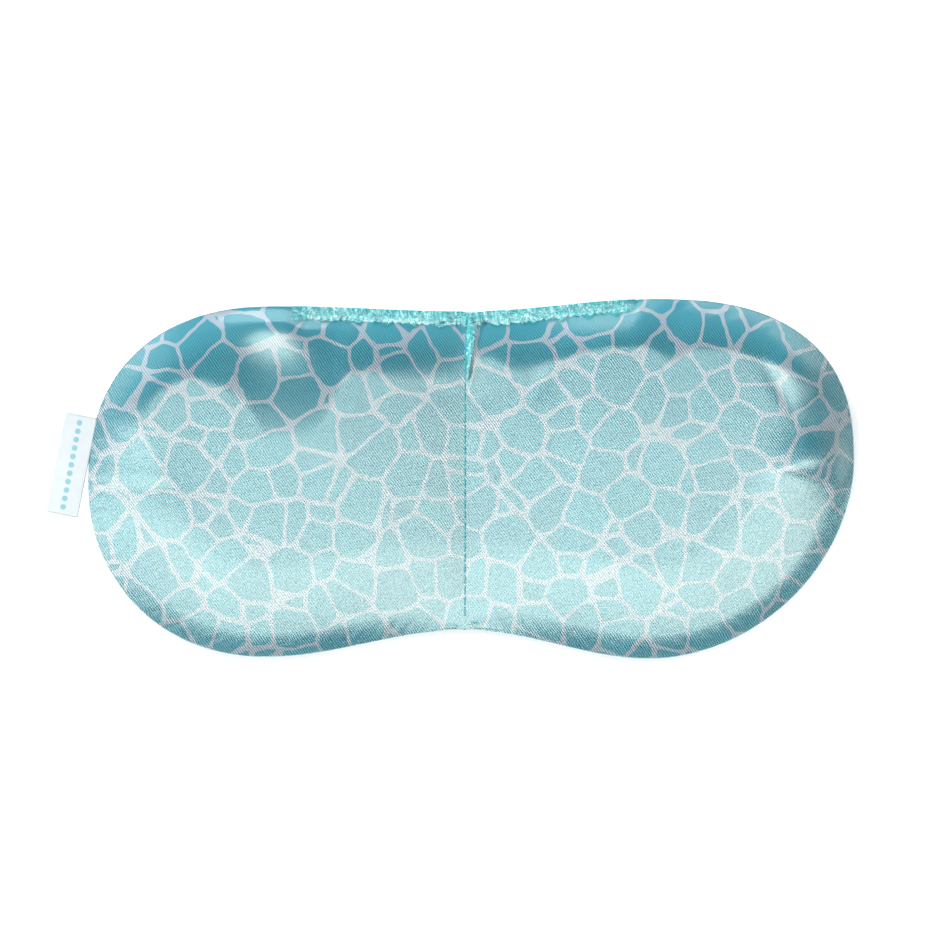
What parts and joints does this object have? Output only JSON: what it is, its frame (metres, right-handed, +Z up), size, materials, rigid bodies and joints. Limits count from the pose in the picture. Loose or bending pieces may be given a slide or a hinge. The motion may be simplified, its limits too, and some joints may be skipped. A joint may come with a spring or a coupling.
{
  "type": "sleep eye mask",
  "caption": "Two-lobed, seed-filled satin eye mask with no strap, stitched down the middle so that it folds, with a flat closing lip and a folded side label.",
  "frame": {"origin": "centre of the mask's footprint, label included, on the surface that it lies on", "axes": "+Z up out of the front cloth, +Y towards the brow edge with the closing lip, +X towards the right-hand lobe as seen from above"},
  "size_m": [0.2268, 0.1004, 0.016],
  "materials": {
    "satin_front": "glossy printed satin",
    "satin_back": "glossy printed satin",
    "pouch_cotton": "plain woven",
    "seeds": "natural seed",
    "thread": "spun polyester",
    "ribbon": "satin ribbon"
  },
  "bodies": {
    "left_lobe": {"front_panel_left": "satin_front", "back_panel_left": "satin_back", "pouch_front_left": "pouch_cotton", "pouch_back_left": "pouch_cotton", "seed_fill_left": "seeds", "edge_thread_left": "thread", "closure_thread_left": "thread", "fold_strip": "satin_front", "fold_thread_front": "thread", "fold_thread_back": "thread"},
    "right_lobe": {"front_panel_right": "satin_front", "back_panel_right": "satin_back", "pouch_front_right": "pouch_cotton", "pouch_back_right": "pouch_cotton", "seed_fill_right": "seeds", "edge_thread_right": "thread", "closure_thread_right": "thread"},
    "label": {"side_label": "ribbon"}
  },
  "joints": [
    {"name": "centre_fold", "type": "hinge", "parent": "left_lobe", "child": "right_lobe", "pos_m": [0.00441, 0, 0.006], "axis": [0, -1, 0], "range_deg": [-120, 120]},
    {"name": "label_flex", "type": "hinge", "parent": "left_lobe", "child": "label", "pos_m": [-0.10235, 0.003, 0.006], "axis": [0.1908, 0.9816, 0], "range_deg": [-80, 80], "stiffness_Nm_per_rad": 0.0002}
  ]
}
